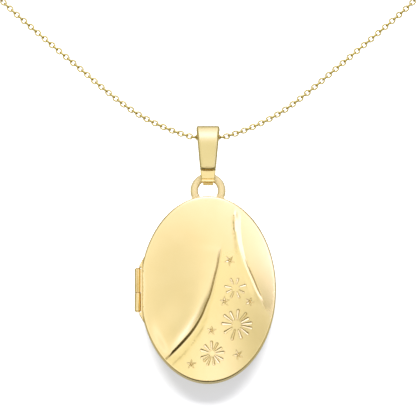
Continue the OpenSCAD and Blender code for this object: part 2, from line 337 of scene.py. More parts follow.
def point_value(tree, name):
    """One of a piece's own masks, stored at its points."""
    node = tree.nodes.new("ShaderNodeAttribute")
    node.attribute_name = name
    return node.outputs["Fac"]


SATIN_TINT = (1.0, 0.795, 0.34)         # brushed gold
SHADE_GOLD = (0.4, 0.275, 0.075)           # painted shade: darker gold put in engraved cuts, along fold lines and in the bail's crescent


def gold_material(name, colour, deep, rough=0.2, grain=0.1, masked=False):
    """Polished gold: colour drifts a little towards deep, with fine polishing lines and faint wear.

    masked pieces carry two values at each point: satin turns the polish into an even fine grain,
    and the other paints shade, turning the gold towards the darker shaded gold."""
    material, tree, shader = node_material(name)
    shader.inputs["Metallic"].default_value = 1.0
    drift = remap(tree, noise(tree, 0.25, 3), 0.3, 0.7, 0.0, 1.0)
    tint = mix_colour(tree, drift, colour, deep)
    wear = remap(tree, noise(tree, 3.0, 5, (1, 0.35, 1)), 0.3, 0.8, rough * 0.94, rough * 1.1)
    lines = noise(tree, 7.0, 6, (0.1, 1.0, 0.4), 0.7)
    normal = bump(tree, lines, grain, 0.003)
    if masked:
        satin = point_value(tree, "satin")
        pebble = math_node(tree, "MULTIPLY", noise(tree, 14.0, 2), satin)
        normal = bump(tree, pebble, 0.7, 0.012, normal)
        wear = math_node(tree, "ADD", wear, math_node(tree, "MULTIPLY", satin, 0.06))
        # painted shade: the point mask, broken up a little by noise, darkens the gold in cuts, fold lines
        # and the crescent
        shade_patches = remap(tree, noise(tree, 5.0, 3), 0.3, 0.7, 0.75, 1.0)
        tint = mix_colour(tree, satin, tint, SATIN_TINT)
        shade = math_node(tree, "MULTIPLY", point_value(tree, "groove_shade"), shade_patches)
        tint = mix_colour(tree, shade, tint, SHADE_GOLD)
    tree.links.new(tint, shader.inputs["Base Color"])
    tree.links.new(wear, shader.inputs["Roughness"])
    tree.links.new(normal, shader.inputs["Normal"])
    return material


def window_material():
    material, tree, shader = node_material("clear_film")
    shader.inputs["Base Color"].default_value = (0.97, 0.97, 0.93, 1)
    shader.inputs["IOR"].default_value = 1.46
    shader.inputs["Alpha"].default_value = 0.22
    haze = remap(tree, noise(tree, 0.6, 5), 0.35, 0.75, 0.02, 0.09)
    tree.links.new(haze, shader.inputs["Roughness"])
    ripple = bump(tree, noise(tree, 0.5, 2), 0.25, 0.02)
    tree.links.new(ripple, shader.inputs["Normal"])
    return material


def card_material():
    material, tree, shader = node_material("blank_card")
    fibre = noise(tree, 9.0, 6, (1, 0.4, 1), 0.65)
    share = remap(tree, fibre, 0.3, 0.7, 0, 1)
    tint = mix_colour(tree, share, (0.82, 0.79, 0.66), (0.9, 0.87, 0.75))
    tree.links.new(tint, shader.inputs["Base Color"])
    shader.inputs["Roughness"].default_value = 0.85
    tree.links.new(bump(tree, fibre, 0.5, 0.01), shader.inputs["Normal"])
    return material


def steel_material():
    material, tree, shader = node_material("spring_wire")
    shader.inputs["Metallic"].default_value = 1.0
    tint = mix_colour(tree, noise(tree, 3.0, 3), (0.55, 0.55, 0.54), (0.7, 0.7, 0.68))
    tree.links.new(tint, shader.inputs["Base Color"])
    wear = remap(tree, noise(tree, 5.0, 3), 0.3, 0.7, 0.2, 0.35)
    tree.links.new(wear, shader.inputs["Roughness"])
    return material


CASE = gold_material("case_gold", (1.0, 0.80, 0.40), (0.98, 0.77, 0.37), 0.24, 0.12, masked=True)
BAIL = gold_material("bail_gold", (0.84, 0.69, 0.31), (0.81, 0.66, 0.285), 0.32, masked=True)
LOOP = gold_material("loop_gold", (0.96, 0.81, 0.43), (0.92, 0.76, 0.39), 0.62, 0.2)
HINGE = gold_material("hinge_gold", (1.0, 0.80, 0.40), (0.95, 0.74, 0.35), 0.2)
INNER = gold_material("inner_gold", (0.95, 0.75, 0.37), (0.9, 0.7, 0.33), 0.3)
CHAIN = gold_material("chain_gold", (0.84, 0.68, 0.22), (0.74, 0.58, 0.17), 0.16)
CLASP = gold_material("clasp_gold", (0.88, 0.68, 0.28), (0.8, 0.6, 0.22), 0.2)
WINDOW = window_material()
CARD = card_material()
STEEL = steel_material()


def paint(piece, material):
    piece.data.materials.clear()
    piece.data.materials.append(material)


# ---------------- covers
SIDE_H = 1.05                 # straight side of each cover
EDGE_R = 0.3                  # rounded edge
WALL = 0.35                   # thickness of the pressed sheet
AROUND = 480                  # points round the oval

front_low, front_high = node_box("front_cover")
back_high = node_box("back_cover")[1]
HALF_W = front_high[0]
HALF_H = front_high[1]
FLAT_X = -front_low[0]
PART_Z = (front_low[2] + back_high[2]) / 2
PART_GAP = front_low[2] - PART_Z
HALF_T = front_high[2] - PART_Z


def dome(inset, height, edge):
    """Radius of the shallow dome, its centre's height and where it meets the rounded edge."""
    r = HALF_W - inset
    rise = height - SIDE_H
    radius = ((r - edge) ** 2 + rise ** 2 - edge ** 2) / (2 * (rise - edge))
    return radius, height - radius, (r - edge) * radius / (radius - edge)


def soft_flat(points, flat, soft=0.05):
    """Pulls points that lie past the hinge flat onto it, with a small round."""
    d = points[:, 0] + flat
    points[:, 0] = -flat + (d + np.sqrt(d * d + soft * soft)) / 2
    return points


def oval_row(r, stretch, z, angles):
    return np.column_stack([r * np.cos(angles), r * stretch * np.sin(angles),
                            np.full(len(angles), z)])


# Folds: the line of the groove from top to bottom, mm
LEFT_FOLD = [(1.74, 5.9), (1.61, 5.08), (1.34, 3.28), (1.0, 1.87), (0.66, 0.41), (0.32, -0.83),
             (-0.13, -1.95), (-0.84, -3.7), (-2.0, -5.63), (-3.61, -7.49), (-5.34, -9.13),
             (-6.4, -10.0)]
RIGHT_FOLD = [(4.72, 11.6), (4.5, 10.2), (4.45, 8.8), (4.6, 6.9), (4.9, 5.2), (5.22, 3.9),
              (5.72, 2.6), (6.17, 1.6), (6.75, 0.2), (7.31, -1.07), (7.8, -2.2)]
FACE_MID = np.array([0.0, -0.26])       # the middle that the folds, bursts and stars are laid out from
DROP_SHARE = 0.62             # the steep drop's part of the whole height between sheet and groove
DROP_SLOPE = 0.9
SHEET_POWER = 2.4             # how the sheet rounds over to the drop
SHEET_FADE = 4.0              # distance over which the sheet's raise dies away behind its shoulder
RAMP_POWER = 0.85


class Fold:
    """A pressed fold: a raised sheet rounds over and drops into a groove, and a ramp climbs back out.

    high, deep, shoulder_w and ramp_w are functions of the share of the line's run. ridge raises the
    ramp's far end into a band, and crease and seam are fine lines at the ramp's end and at the drop."""

    def __init__(self, points, outward, high, deep, shoulder_w, ramp_w, start=0.0, ridge=0.0,
                 crease=0.0, seam=0.0):
        self.line = smooth_line(points, 0.08) + FACE_MID
        self.run = np.linspace(0, 1, len(self.line))
        self.high, self.deep, self.shoulder_w, self.ramp_w = high, deep, shoulder_w, ramp_w
        self.start, self.ridge, self.crease, self.seam = start, ridge, crease, seam
        tangent = unit(np.gradient(self.line, axis=0))
        self.inward = outward * np.column_stack([tangent[:, 1], -tangent[:, 0]])

    def place(self, xy):
        """Signed distance from the groove, positive towards the ramp, and the share of the run."""
        best = np.full(len(xy), 1e9)
        index = np.zeros(len(xy), int)
        for i, p in enumerate(self.line):
            d = np.sum((xy - p) ** 2, axis=1)
            near = d < best
            best[near] = d[near]
            index[near] = i
        side = np.sum((xy - self.line[index]) * self.inward[index], axis=1)
        return np.sign(side) * np.sqrt(best), self.run[index]

    def height(self, xy, fade):
        """Height over the plain dome, scaled down where fade is under 1."""
        u, t = self.place(xy)
        fade = fade * smoothstep(self.start - 0.08, self.start, t)
        high, deep = self.high(t) * fade, self.deep(t) * fade
        drop = DROP_SHARE * (high + deep)
        drop_w = drop / DROP_SLOPE + 1e-4
        over = np.clip((-u - drop_w) / self.shoulder_w(t), 0, 1)
        sheet = high - (high + deep - drop) * (1 - over) ** SHEET_POWER
        behind = -u - drop_w - self.shoulder_w(t)
        sheet = sheet * (1 - smoothstep(0, SHEET_FADE, behind))
        fall = -deep + drop * np.clip(-u / drop_w, 0, 1)
        climb = np.clip(u / self.ramp_w(t), 0, 1)
        ramp = -deep * (1 - climb ** RAMP_POWER)
        height = np.where(u < -drop_w, sheet, np.where(u < 0, fall, ramp))
        past = u - self.ramp_w(t)
        wall = 0.3 + 0.7 * smoothstep(0.25, 0.5, t)
        wedge = climb * (1 - smoothstep(0, 1, past / wall))
        height = height + self.ridge * self.ramp_w(t) * wedge * (1 - smoothstep(0.8, 0.97, t)) * fade
        lines = self.crease * bell(past, 0, 0.07) + self.seam * bell(u, -0.06, 0.08)
        return height - lines * smoothstep(0.45, 0.62, t) * (1 - smoothstep(0.82, 0.96, t)) * fade

    def line_mask(self, xy, low, high, first=0.0, last=1.0, past_ramp=False):
        """1 between two offsets from the fold's line or its ramp's end, over a share of its run."""
        u, t = self.place(xy)
        u = u - self.ramp_w(t) if past_ramp else u
        band = smoothstep(low - 0.08, low + 0.04, u) * smoothstep(high + 0.1, high, u)
        return band * smoothstep(first, first + 0.1, t) * smoothstep(last, last - 0.08, t)

    def rows(self):
        """Points in strips along the fold, close together where it is steep."""
        offsets = np.concatenate([-np.geomspace(0.5, 2.4, 8)[::-1], np.linspace(-0.44, 0.0, 12),
                                  np.geomspace(0.05, 1.1, 12)])
        for u in offsets:
            yield (self.line + u * self.inward)[::1 if abs(u) < 0.5 else 2]


left_fold = Fold(
    LEFT_FOLD, -1,
    high=lambda t: 0.05 + 0.22 * smoothstep(0.1, 0.7, t) * (1 - 0.5 * smoothstep(0.75, 1, t)),
    deep=lambda t: 0.05 + 0.18 * smoothstep(0.2, 0.9, t),
    shoulder_w=lambda t: 0.5 + 1.1 * t,
    ramp_w=lambda t: 0.28 + 0.78 * smoothstep(0.2, 0.9, t),
    start=0.06, crease=0.07)
right_fold = Fold(
    RIGHT_FOLD, 1,
    high=lambda t: 0.0 * t,
    deep=lambda t: 0.0 * t,
    shoulder_w=lambda t: 0.7 - 0.2 * t,
    ramp_w=lambda t: 0.85 - 0.47 * smoothstep(0.12, 0.6, t),
    start=0.0, ridge=0.24, seam=0.075)

# Engraved bursts: middle, inner and outer radius, half width and the direction of each petal
BURSTS = [
    ((3.73, 0.27), 0.5, 1.46, 0.15, [17, 74, 117, 172, 208, 246, 291, 331]),
    ((3.87, -4.74), 0.6, 2.1, 0.21, [8, 29, 50, 83, 116, 143, 176, 214, 253, 290, 321, 348]),
    ((0.56, -8.65), 0.4, 1.66, 0.2, [7, 31, 62, 93, 132, 163, 201, 222, 248, 280, 307, 331])]
# Engraved stars: middle, radius and the direction of one point
STARS = [((2.94, 4.01), 0.7, 126), ((2.26, -1.59), 0.66, 93), ((5.67, -1.59), 0.62, 70),
         ((0.49, -5.55), 0.62, 88), ((4.1, -8.79), 0.72, 115), ((-2.27, -10.08), 0.66, 88)]
# Across a cut, in half widths: where its mesh rows run, its depth (a steep wall down to the keel, a
# long bright facet out of it and a steeper edge) and its painted shade, darkest at the steep wall
CUT_ROWS = (-1, -0.48, -0.38, -0.28, 0, 0.35, 0.66, 0.78, 1)
DEPTH_AT = (-1, -0.42, 0.71, 1)
CUT_DEPTH = (0, 1, 0.33, 0)
SHADE_AT = (-1, -0.38, -0.28, 0.72, 1)
CUT_SHADE = (0.7, 1, 0, 0, 0.6)
CUT_DEEP = 0.56               # depth over half width
STEEP_SIDE = np.array([0.8, 0.6])       # petals turn their steep wall away from this direction
PETAL_END = 0.15              # share of a petal's length that its round end takes
STAR_HALF_W = 0.15


def petal_marks():
    """Scooped petals with round outer ends: spine, side direction, half widths and depths."""
    marks = []
    t = np.concatenate([np.linspace(0, 0.86, 11), [0.91, 0.95, 0.98, 1.0]])
    cap = np.sqrt(np.clip(1 - ((t - 1 + PETAL_END) / PETAL_END).clip(0) ** 2, 0, 1))
    for mid, inner, outer, half_w, directions in BURSTS:
        for k, direction in enumerate(directions):
            a = math.radians(direction)
            reach = outer * (1 + 0.05 * math.sin(2.3 * k + outer))
            along = np.array([math.cos(a), math.sin(a)])
            across = np.array([-along[1], along[0]])
            across = across * (-1 if across @ STEEP_SIDE > 0 else 1)
            width = half_w * (0.3 + 0.7 * t ** 0.7) * cap
            width[0] = 0
            spine = np.array(mid) + FACE_MID + (inner + (reach - inner) * t)[:, None] * along
            marks.append((spine, across, width, CUT_DEEP * width))
    return marks


def star_marks():
    """Five-pointed stars of straight tapered cuts that meet in the middle."""
    marks = []
    for mid, radius, direction in STARS:
        for k in range(5):
            a = math.radians(direction + 72 * k)
            along = np.array([math.cos(a), math.sin(a)])
            across = np.array([-along[1], along[0]])
            t = np.linspace(0.14, 1, 7)
            width = STAR_HALF_W * (1 - t) ** 0.6 + 0.004
            width[0] = 0.08
            width[-1] = 0
            spine = np.array(mid) + FACE_MID + (radius * t)[:, None] * along
            marks.append((spine, across, width, CUT_DEEP * width))
    return marks


def inside_mask(xy, outline):
    """Which points lie inside a closed outline."""
    x, y = xy[:, 0], xy[:, 1]
    inside = np.zeros(len(xy), bool)
    for (x0, y0), (x1, y1) in zip(outline, np.roll(outline, -1, 0)):
        cross = ((y0 > y) != (y1 > y)) & (x < (x1 - x0) * (y - y0) / (y1 - y0 + 1e-15) + x0)
        inside ^= cross
    return inside


def relief(xy):
    """Height of the pressed folds above the plain dome, fading out at the rim."""
    radial = np.sqrt((xy[:, 0] / HALF_W) ** 2 + (xy[:, 1] / HALF_H) ** 2)
    left_fade = 1 - smoothstep(0.84, 0.968, radial)
    right_fade = 1 - smoothstep(0.85, 0.968, radial)
    return left_fold.height(xy, left_fade) + right_fold.height(xy, right_fade)


def satin_field(xy):
    """1 between the two folds, 0 outside them."""
    between = smoothstep(0.1, 0.3, left_fold.place(xy)[0]) * smoothstep(0.1, 0.3, right_fold.place(xy)[0])
    return between * smoothstep(6.2, 3.4, xy[:, 1])


def front_face(edge_row):
    """Plan points of the engraved face, their cut depths and painted shade, its triangles, and for each
    point the first of the given points that it came from."""
    marks = petal_marks() + star_marks()
    points, sinks, shades, edges = [], [], [], []

    def add(xy, sink=0.0, shade=0.0):
        first = sum(len(p) for p in points)
        points.append(np.atleast_2d(xy))
        sinks.append(np.broadcast_to(sink, (len(points[-1]),)).astype(float))
        shades.append(np.full(len(points[-1]), shade))
        return first

    n = len(edge_row)
    add(edge_row)
    edges += [(i, (i + 1) % n) for i in range(n)]
    outlines = []
    for spine, across, width, depth in marks:
        rows = [spine + (f * width)[:, None] * across for f in CUT_ROWS]
        outline = np.vstack([rows[0], rows[-1][::-1][1:-1]])
        outlines.append(outline)
        # painted shade: a cut's outline gets half the shade
        first = add(outline, shade=0.5)
        m = len(outline)
        edges += [(first + i, first + (i + 1) % m) for i in range(m)]
        for f, row in zip(CUT_ROWS[1:-1], rows[1:-1]):
            keep = width > 0.02
            add(row[keep], (depth * np.interp(f, DEPTH_AT, CUT_DEPTH))[keep],
                float(np.interp(f, SHADE_AT, CUT_SHADE)))
    free = list(left_fold.rows()) + list(right_fold.rows())
    coarse = hex_points(0.32)
    fine = hex_points(0.13)
    middle = np.array([m[0] for m in BURSTS]) + FACE_MID
    reach = np.array([m[2] + 0.25 for m in BURSTS])
    star_mid = np.array([s[0] for s in STARS]) + FACE_MID
    near = (distances(fine, middle) < reach).any(1) | (distances(fine, star_mid) < 0.9).any(1)
    away = (distances(coarse, middle) > reach + 0.1).all(1)
    away &= (distances(coarse, star_mid) > 0.95).all(1)
    for fold in (left_fold, right_fold):
        away &= np.abs(fold.place(coarse)[0] + 0.5) > 1.4
        u = fold.place(fine)[0]
        near &= (u < -2.2) | (u > 0.9)
    free += [coarse[away], fine[near]]
    free = np.vstack(free)
    edge_r = np.abs(edge_row[0, 0])
    edge_h = np.abs(edge_row[:, 1]).max()
    free = free[(free[:, 0] / (edge_r - 0.1)) ** 2 + (free[:, 1] / (edge_h - 0.1)) ** 2 < 1]
    for outline in outlines:
        near = np.linalg.norm(free - outline.mean(0), axis=1) < 2.0
        drop = np.zeros(len(free), bool)
        drop[near] = inside_mask(free[near], outline)
        gap = np.full(len(free), 1.0)
        gap[near] = distances(free[near], outline).min(1)
        free = free[~drop & (gap > 0.05)]
    add(free)
    xy = np.vstack(points)
    sink = np.concatenate(sinks)
    out = geometry.delaunay_2d_cdt([Vector(p) for p in xy], edges, [], 0, 1e-5)
    verts, faces, source = out[0], out[2], out[3]
    flat = np.array([tuple(v) for v in verts])
    shade = np.concatenate(shades)
    depth = np.array([sink[s[0]] if s else 0.0 for s in source])
    groove_shade = np.array([shade[s[0]] if s else 0.0 for s in source])
    first_use = [s[0] if s else -1 for s in source]
    return flat, depth, groove_shade, [tuple(f) for f in faces], first_use


def hex_points(step):
    """Points in rows a step apart, every second row shifted by half a step."""
    rows = []
    for j, y in enumerate(np.arange(-HALF_H, HALF_H, step * 0.866)):
        x = np.arange(-HALF_W, HALF_W, step) + (step / 2 if j % 2 else 0)
        rows.append(np.column_stack([x, np.full(len(x), y)]))
    return np.vstack(rows)


def engraved_top(edge):
    """Plan points inside the edge, heights to add, faces, the edge's indices and the two masks, satin and
    painted shade.
    """
    flat, depth, groove_shade, faces, source = front_face(edge)
    # painted shade: dark lines along the left fold's drop and ramp end and along the right fold's seam and
    # ramp end
    lines = (0.85 * left_fold.line_mask(flat, -0.22, 0.0, last=1.08),
             0.5 * left_fold.line_mask(flat, -0.03, 0.03, 0.5, 0.98, past_ramp=True),
             right_fold.line_mask(flat, -0.1, -0.02, 0.55, 0.94),
             0.3 * right_fold.line_mask(flat, 0.04, 0.1, 0.0, 0.42, past_ramp=True))
    groove_shade = np.maximum.reduce((groove_shade,) + lines)
    satin = satin_field(flat) * (depth < 0.01)
    order = {s: i for i, s in enumerate(source) if 0 <= s < AROUND}
    return flat, relief(flat) - depth, faces, [order[i] for i in range(AROUND)], satin, groove_shade


def plain_top(edge):
    """The same six things for a plain cover."""
    rings = np.linspace(0, 1, 34)[1:]
    flat = np.vstack([[[0.0, 0.0]]] + [edge * r for r in rings])
    faces = [(0, 1 + j, 1 + (j + 1) % AROUND) for j in range(AROUND)]
    faces += [tuple(reversed(f)) for f in grid_faces(len(rings), AROUND, 1)]
    zeros = np.zeros(len(flat))
    return flat, zeros, faces, list(range(len(flat) - AROUND, len(flat))), zeros, zeros


def cover_shell(name, body, node, up, make_top, top_cut):
    """A pressed cover: its outer face, rounded edge, side, seam edge and inside."""
    height = HALF_T + top_cut
    stretch = HALF_H / HALF_W
    radius, centre, touch = dome(0, height, EDGE_R)
    angles = full_turn(AROUND)
    edge = oval_row(touch, stretch, 0, angles)[:, :2]
    flat, z_add, faces, edge_index, satin, groove_shade = make_top(edge)
    r2 = flat[:, 0] ** 2 + (flat[:, 1] / stretch) ** 2
    z = centre + np.sqrt(radius ** 2 - r2)
    z = np.minimum(z, HALF_T) + z_add
    outer = np.column_stack([flat, z])
    rows = []
    lean = math.acos((HALF_W - EDGE_R) / (radius - EDGE_R))
    for f in np.linspace(lean, 0, 8)[1:]:
        rows.append(oval_row(HALF_W - EDGE_R + EDGE_R * math.cos(f), stretch,
                             SIDE_H + EDGE_R * math.sin(f), angles))
    for z_side in (0.7, 0.35, PART_GAP + 0.06):
        rows.append(oval_row(HALF_W, stretch, z_side, angles))
    rows.append(oval_row(HALF_W - 0.05, stretch, PART_GAP, angles))
    outer_all = soft_flat(np.vstack([outer] + rows), FLAT_X)
    in_w, in_h = HALF_W - WALL, HALF_H - WALL
    in_stretch = in_h / in_w
    in_radius, in_centre, in_touch = dome(WALL, height - WALL, EDGE_R / 2)
    inner = [oval_row(in_w + 0.04, in_stretch, PART_GAP, angles),
             oval_row(in_w, in_stretch, PART_GAP + 0.05, angles),
             oval_row(in_w, in_stretch, SIDE_H, angles)]
    for f in np.linspace(1, 0.04, 14):
        r = in_touch * f
        inner.append(oval_row(r, in_stretch, in_centre + math.sqrt(in_radius ** 2 - r * r), angles))
    inner_all = soft_flat(np.vstack(inner), FLAT_X - WALL)
    points = np.vstack([outer_all, inner_all])
    base = len(outer)
    ring_rows = len(rows) + len(inner)
    body_faces = [tuple(reversed(f)) for f in grid_faces(ring_rows, AROUND, base)]
    join = [(edge_index[j], base + j, base + (j + 1) % AROUND, edge_index[(j + 1) % AROUND])
            for j in range(AROUND)]
    last = base + (ring_rows - 1) * AROUND
    cap = [tuple(last + j for j in range(AROUND))]
    faces = faces + join + body_faces + cap
    if up:
        points[:, 2] += PART_Z
    else:
        points[:, 2] = PART_Z - points[:, 2]
        faces = [tuple(reversed(f)) for f in faces]
    piece = new_piece(name, points, faces, body, sharp_deg=32)
    write_mask(piece, "satin", satin)
    write_mask(piece, "groove_shade", groove_shade)
    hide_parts(node)
    paint(piece, CASE)


cover_shell("front_cover_shell", "front", "front_cover", True, engraved_top, 0.015)
cover_shell("back_cover_shell", "back", "back_cover", False, plain_top, 0.06)

# ---------------- bail
EYE_MID = (15.57, 1.95)       # y and z of the eye's centre
TOP_MID = (20.65, 1.62)       # y and z of the top bend's centre
EYE_R = 0.95
TOP_R = 1.45
STRIP_T = 0.34
LONG_FROM, LONG_TOP = 19.85, 22.4       # the top bend is drawn out into a long oval between these
LEAF_END = 14.95
LEAF_RAISE = 0.05             # the front leaf's end stands off the eye by this
TUCK = (0.6, 0.86)            # where the strip ends under the front leaf, from the eye's centre
LEAF_AT, LEAF_HALF_W = (14.65, 22.43), (0.89, 1.6)
EYE_HALF_W = 0.72
PILLOW_END = 16.3             # lower end of the raised pillow on the front leaf
PILLOW_H = 0.36
CROWN_AT, CROWN_SHARE = (17.2, 22.4), (1.0, 0.45)       # the pillow sinks evenly between these
LINE_Y = 15.17                # fine line across the leaf above its rolled end
TAB_BRUSHED = 0.75            # how matt the leaf is below the pillow
EYE_CLEAR = 0.13              # the leaf's sides are thinned from below by this, to clear the loop
ROUTE_STEP = 0.045
HALF_ACROSS = np.array([0.25, 0.5, 0.7, 0.82, 0.9, 0.955, 0.99, 1])
STRIP_ACROSS = np.concatenate([-HALF_ACROSS[::-1], [0], HALF_ACROSS])
BAR_POINTS = 20               # points round the bead and round the lip
BEAD_X = (-0.97, -0.93, -0.85, -0.7, 0, 0.7, 0.85, 0.93, 0.97)
BEAD_R = (0.08, 0.15, 0.19, 0.2, 0.2, 0.2, 0.19, 0.15, 0.08)
LIP_LOW, LIP_HIGH = (14.47, 2.5), (14.95, 2.66)         # y and z of the lip's face
LIP_HALF_W = 0.74
LIP_T = 0.22
LIP_X = (-1, -0.985, -0.95, -0.88, 0, 0.88, 0.95, 0.985, 1)
LIP_SIZE = (0.6, 0.84, 0.95, 1, 1, 1, 0.95, 0.84, 0.6)
LIP_SQUARE = 5


def arc_points(mid, radius, start, end):
    return [mid + radius * np.array([math.cos(a), math.sin(a)]) for a in np.linspace(start, end, 40)]


def bail_route():
    """Middle line of the strip in (y, z): up the front leaf, over, down the back, round the eye."""
    eye, top = np.array(EYE_MID), np.array(TOP_MID)
    step = top - eye
    lean = math.atan2(step[1], step[0])
    spread = math.acos((EYE_R - TOP_R) / np.linalg.norm(step))
    front, back = lean + spread, lean - spread
    over = arc_points(top, TOP_R, front, back)
    under = arc_points(eye, EYE_R, back, back - math.radians(200))
    leaf_end = [LEAF_END, eye[1] + EYE_R * math.sin(front) + LEAF_RAISE]
    route = np.vstack([[leaf_end], over, under, [eye + np.array(TUCK)]])
    route[:, 0] = np.interp(route[:, 0], [0, eye[0], top[0], top[0] + TOP_R],
                            [0, eye[0], LONG_FROM, LONG_TOP])
    return resampled(route, ROUTE_STEP)


def quarter_round(gap, radius):
    """Rises from 0 at an edge to 1 at radius from it, as a quarter circle does."""
    return np.sqrt(np.clip(1 - (1 - np.clip(gap / radius, 0, 1)) ** 2, 0, 1))


def strip_section(y, half_w, past_top):
    """Across the strip at y, some way past the bail's top: x, height of its outer and inner side,
    painted shade and brushing."""
    x = STRIP_ACROSS * half_w
    gap = (1 - np.abs(STRIP_ACROSS)) * half_w
    front = past_top < 0
    middle = 1 - smoothstep(0.7, 0.84, np.abs(x))
    corner = np.clip(np.abs(STRIP_ACROSS) / 0.72, 0, 1) ** 2
    end = np.clip((y - PILLOW_END) / (0.58 - 0.06 * corner), 0, 1)
    crown = np.interp(y, CROWN_AT, CROWN_SHARE) * (1 - 0.5 * smoothstep(-2.4, 0.4, past_top))
    pillow = PILLOW_H * crown * (1 - (1 - end) ** (2.6 - 1.4 * corner))
    lines = 0.1 * bell(y, LINE_Y, 0.07) + 0.12 * middle * bell(y, PILLOW_END + 0.05, 0.06)
    lift = pillow * quarter_round(gap - 0.04, 0.24) - lines * front
    lift = lift * (1 - smoothstep(0.3, 3.0, past_top))
    thin = smoothstep(0.7, 0.88, np.abs(x)) * (1 - smoothstep(16.4, 17.2, y)) * front
    inner = EYE_CLEAR * thin - STRIP_T / 2
    outer = np.maximum(STRIP_T * (quarter_round(gap, 0.13) - 0.5) + lift, inner)
    # painted shade: the dark crescent across the middle of the pillow's lower end
    shade = (1 - end) ** 0.4 * smoothstep(PILLOW_END - 0.05, PILLOW_END + 0.01, y) * front * middle
    brushed = TAB_BRUSHED * smoothstep(PILLOW_END, PILLOW_END - 0.1, y) * front
    return x, outer, inner, shade, np.full(len(x), brushed)


def bead_rows(y, z):
    """Rings along X of the bead that the leaf's end is rolled into."""
    turn = full_turn(BAR_POINTS)
    return [np.column_stack([np.full(BAR_POINTS, x), y + r * np.cos(turn), z + r * np.sin(turn)])
            for x, r in zip(BEAD_X, BEAD_R)]


def lip_rows():
    """Rings along X of the lip below the bead: a flat face with round edges."""
    low, high = np.array(LIP_LOW), np.array(LIP_HIGH)
    along = (high - low) / 2
    up = unit(np.array([-along[1], along[0]])) * LIP_T / 2
    turn = full_turn(BAR_POINTS)
    c, s = np.cos(turn)[:, None], np.sin(turn)[:, None]
    outline = squared(c, s, LIP_SQUARE) * (c * along + s * up)
    return [np.column_stack([np.full(BAR_POINTS, x * LIP_HALF_W), (low + high) / 2 - up + share * outline])
            for x, share in zip(LIP_X, LIP_SIZE)]


def make_bail():
    """The folded strip, the bead at its rolled end and the lip below that."""
    route = bail_route()
    tangent = unit(np.gradient(route, axis=0))
    run = np.arange(len(route)) * ROUTE_STEP
    past_top = run - run[np.argmax(route[:, 0])]
    turned = smoothstep(5.9, 6.7, past_top)
    half_w = np.interp(route[:, 0], LEAF_AT, LEAF_HALF_W) * (1 - turned) + EYE_HALF_W * turned
    rings, groove_shade, satin = [], [], []
    for (y, z), (step_y, step_z), w, past in zip(route, tangent, half_w, past_top):
        x, outer, inner, shade, brushed = strip_section(y, w, past)
        upper = np.column_stack([x, y - step_z * outer, z + step_y * outer])
        lower = np.column_stack([x, y - step_z * inner, z + step_y * inner])[::-1]
        rings.append(np.vstack([upper, lower]))
        groove_shade += [shade, 0 * x]
        satin += [brushed, 0 * x]
    n = len(rings[0])
    faces = tube_faces(len(rings), n)
    for k in range(2):
        faces += tube_faces(len(BEAD_X), BAR_POINTS, n * len(rings) + k * BAR_POINTS * len(BEAD_X))
    bead = bead_rows(route[0][0] - 0.04, route[0][1] + 0.05)
    points = np.vstack(rings + bead + lip_rows())
    piece = new_piece("bail_strip", points, faces, "bail", sharp_deg=50)
    write_mask(piece, "groove_shade", np.concatenate(groove_shade))
    write_mask(piece, "satin", np.concatenate(satin), TAB_BRUSHED)
    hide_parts("bail")
    paint(piece, BAIL)


make_bail()

# ---------------- top loop
LOOP_MID = (13.7, 1.95)       # y and z of the loop's centre
LOOP_R = 1.87
LOOP_HALF = (0.52, 0.46)      # half width in the loop's plane and half thickness
LOOP_SQUARE = 2.9             # how flat the drawn wire's sides are
LOOP_SWEEP = (-26, 206)       # degrees


def make_loop():
    """A loop of flattened wire whose two ends stand in the pads."""
    turn = full_turn(28)
    c, s = np.cos(turn), np.sin(turn)
    size = squared(c, s, LOOP_SQUARE)
    wide, thick = LOOP_HALF[0] * size * c, LOOP_HALF[1] * size * s
    points = []
    for a in np.radians(np.linspace(*LOOP_SWEEP, 114)):
        r = LOOP_R + wide
        points.append(np.column_stack([r * np.cos(a), LOOP_MID[0] + r * np.sin(a),
                                       LOOP_MID[1] + thick]))
    faces = tube_faces(len(points), len(turn))
    piece = new_piece("top_loop_wire", np.vstack(points), faces, "back", sharp_deg=60)
    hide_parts("top_loop")
    paint(piece, LOOP)


make_loop()

# ---------------- hinge
HINGE_X = -9.55
BARREL_R = 0.42
BORE_R = 0.2
WEB_LOW, WEB_HIGH = 0.02, 0.24          # the web's two sides, from the plane between the covers
WEB_END = 0.46                # from the hinge axis
END_ROUND = 0.06
SEAM_AT, SEAM_DEEP = 97, 0.09           # degrees round the curl, and depth


def knuckle_profile(shrink):
    """Outline of a rolled knuckle round its axis: the curl with its seam groove, and the low web."""
    r = BARREL_R - shrink
    web_high = WEB_HIGH - shrink
    start = math.asin(web_high / r)
    angles = np.linspace(start, 2 * math.pi + math.asin(WEB_LOW / r), 88)
    radius = r - SEAM_DEEP * bell(angles, math.radians(SEAM_AT), 0.16)
    curl = np.column_stack([radius * np.cos(angles), radius * np.sin(angles)])
    web = [(WEB_END, WEB_LOW), (WEB_END, web_high)]
    return np.vstack([curl, web])


